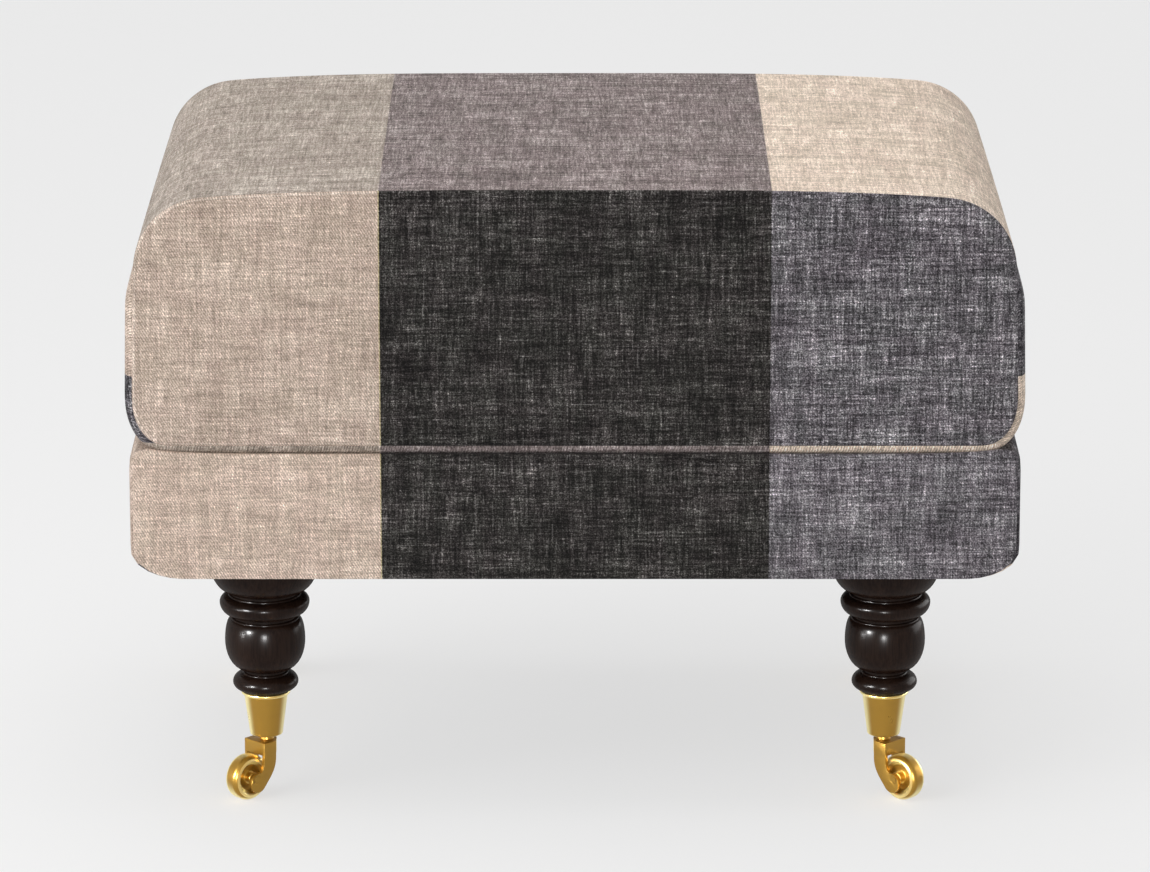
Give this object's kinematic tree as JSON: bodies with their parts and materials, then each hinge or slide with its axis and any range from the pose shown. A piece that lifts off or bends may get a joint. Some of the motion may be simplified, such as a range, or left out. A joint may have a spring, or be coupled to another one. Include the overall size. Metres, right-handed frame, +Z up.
{
  "type": "footstool",
  "caption": "Upholstered footstool with a box cushion in check linen on a low base, turned dark legs and brass cup castors that swivel and roll.",
  "frame": {"origin": "on the floor under the middle of the stool", "axes": "+X to the right seen from the front, the front towards -Y, +Z up"},
  "size_m": [0.614, 0.3866, 0.4465],
  "materials": {
    "linen": "slub linen in a large check of beige, taupe, charcoal and blue-grey",
    "foam": "cut foam",
    "wadding": "soft wadding",
    "webbing": "woven webbing",
    "dust_cloth": "plain black cloth",
    "frame_wood": "sawn, unfinished",
    "dark_wood": "very dark stain under satin lacquer",
    "brass": "polished",
    "steel": "zinc plated"
  },
  "bodies": {
    "stool": {"cushion_foam": "foam", "cushion_band": "linen", "cushion_front_panel": "linen", "cushion_back_panel": "linen", "base_front_panel": "linen", "base_back_panel": "linen", "base_right_band": "linen", "base_left_band": "linen", "right_side_pad": "wadding", "left_side_pad": "wadding", "front_pad": "wadding", "back_pad": "wadding", "deck_pad": "foam", "dust_cloth": "dust_cloth", "right_rail": "frame_wood", "left_rail": "frame_wood", "front_rail": "frame_wood", "back_rail": "frame_wood", "long_web_1": "webbing", "long_web_2": "webbing", "cross_web_1": "webbing", "cross_web_2": "webbing", "cross_web_3": "webbing", "cross_web_4": "webbing", "corner_block_front_left": "frame_wood", "leg_front_left": "dark_wood", "leg_bolt_front_left": "steel", "leg_nut_front_left": "steel", "cup_front_left": "brass", "swivel_pin_front_left": "brass", "corner_block_front_right": "frame_wood", "leg_front_right": "dark_wood", "leg_bolt_front_right": "steel", "leg_nut_front_right": "steel", "cup_front_right": "brass", "swivel_pin_front_right": "brass", "corner_block_back_left": "frame_wood", "leg_back_left": "dark_wood", "leg_bolt_back_left": "steel", "leg_nut_back_left": "steel", "cup_back_left": "brass", "swivel_pin_back_left": "brass", "corner_block_back_right": "frame_wood", "leg_back_right": "dark_wood", "leg_bolt_back_right": "steel", "leg_nut_back_right": "steel", "cup_back_right": "brass", "swivel_pin_back_right": "brass"},
    "castor_front_left": {"fork_front_left": "brass", "axle_front_left": "brass"},
    "wheel_front_left": {"wheel_front_left": "brass"},
    "castor_front_right": {"fork_front_right": "brass", "axle_front_right": "brass"},
    "wheel_front_right": {"wheel_front_right": "brass"},
    "castor_back_left": {"fork_back_left": "brass", "axle_back_left": "brass"},
    "wheel_back_left": {"wheel_back_left": "brass"},
    "castor_back_right": {"fork_back_right": "brass", "axle_back_right": "brass"},
    "wheel_back_right": {"wheel_back_right": "brass"}
  },
  "joints": [
    {"name": "swivel_front_left", "type": "hinge", "parent": "stool", "child": "castor_front_left", "pos_m": [-0.2149, -0.1275, 0.04], "axis": [0, 0, 1], "continuous": true},
    {"name": "roll_front_left", "type": "hinge", "parent": "castor_front_left", "child": "wheel_front_left", "pos_m": [-0.22819, -0.14079, 0.016], "axis": [0.7071, -0.7071, 0], "continuous": true},
    {"name": "swivel_front_right", "type": "hinge", "parent": "stool", "child": "castor_front_right", "pos_m": [0.2149, -0.1275, 0.04], "axis": [0, 0, 1], "continuous": true},
    {"name": "roll_front_right", "type": "hinge", "parent": "castor_front_right", "child": "wheel_front_right", "pos_m": [0.22819, -0.14079, 0.016], "axis": [0.7071, 0.7071, 0], "continuous": true},
    {"name": "swivel_back_left", "type": "hinge", "parent": "stool", "child": "castor_back_left", "pos_m": [-0.2149, 0.1275, 0.04], "axis": [0, 0, 1], "continuous": true},
    {"name": "roll_back_left", "type": "hinge", "parent": "castor_back_left", "child": "wheel_back_left", "pos_m": [-0.22819, 0.14079, 0.016], "axis": [-0.7071, -0.7071, 0], "continuous": true},
    {"name": "swivel_back_right", "type": "hinge", "parent": "stool", "child": "castor_back_right", "pos_m": [0.2149, 0.1275, 0.04], "axis": [0, 0, 1], "continuous": true},
    {"name": "roll_back_right", "type": "hinge", "parent": "castor_back_right", "child": "wheel_back_right", "pos_m": [0.22819, 0.14079, 0.016], "axis": [-0.7071, 0.7071, 0], "continuous": true}
  ]
}
